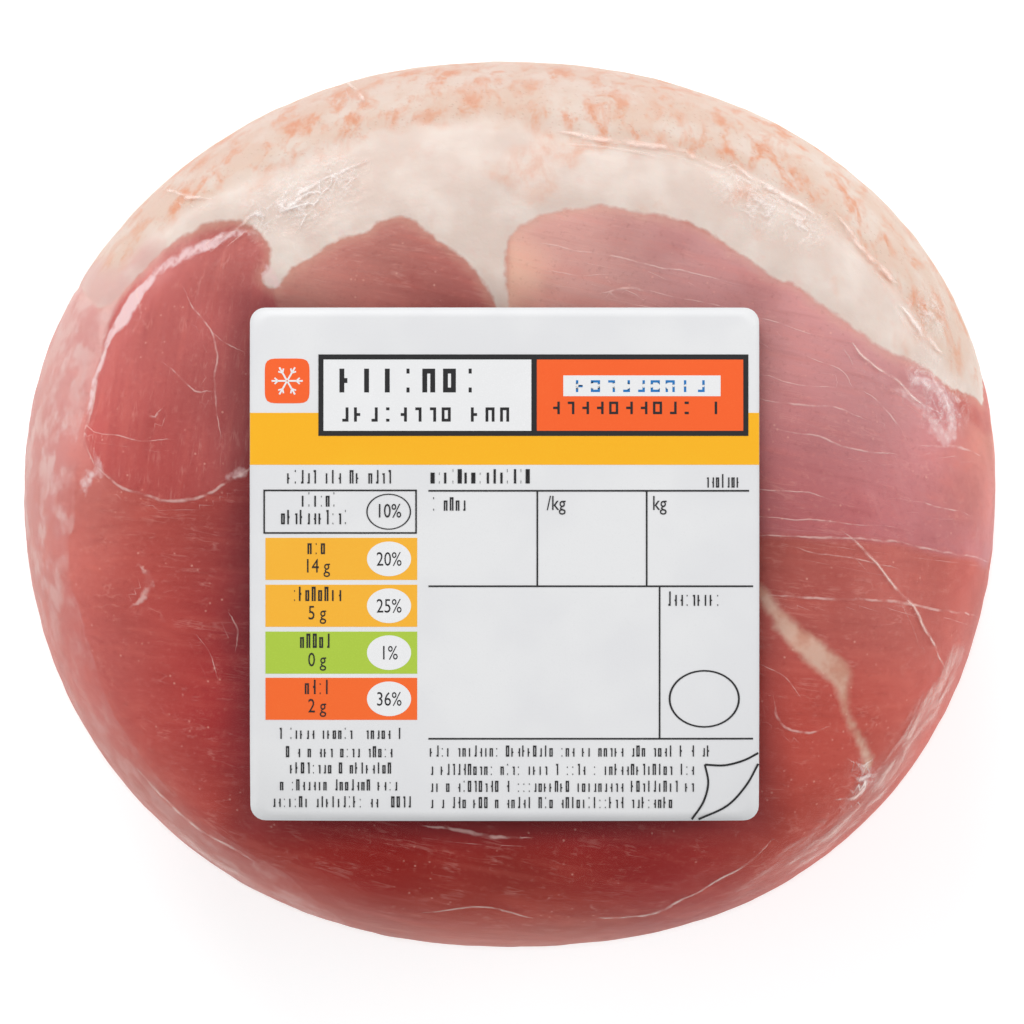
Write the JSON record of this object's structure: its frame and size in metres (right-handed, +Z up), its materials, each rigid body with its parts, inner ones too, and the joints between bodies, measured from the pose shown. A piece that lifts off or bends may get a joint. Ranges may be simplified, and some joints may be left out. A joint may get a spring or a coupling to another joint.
{
  "type": "gammon joint",
  "caption": "Vacuum-packed unsmoked gammon joint with rind and fat, lying on its cut back face, with a square peel label on the front cut face.",
  "frame": {"origin": "centre of the bounding box's underside, on the resting face", "axes": "+Z up out of the labelled front cut face, +Y towards the rind side, +X along the longer side of the cut face"},
  "size_m": [0.1488, 0.1358, 0.0808],
  "materials": {
    "cured_pork": "moist cut pork, red lean, cream fat and peach rind",
    "clear_film": "clear glossy shrink film",
    "base_paper": "smooth white label paper",
    "leaf_paper": "printed semi-gloss label paper"
  },
  "bodies": {
    "root": {"gammon_joint": "cured_pork", "shrink_bag": "clear_film", "label_base_ply": "base_paper", "label_peel_leaf": "leaf_paper"}
  },
  "joints": []
}
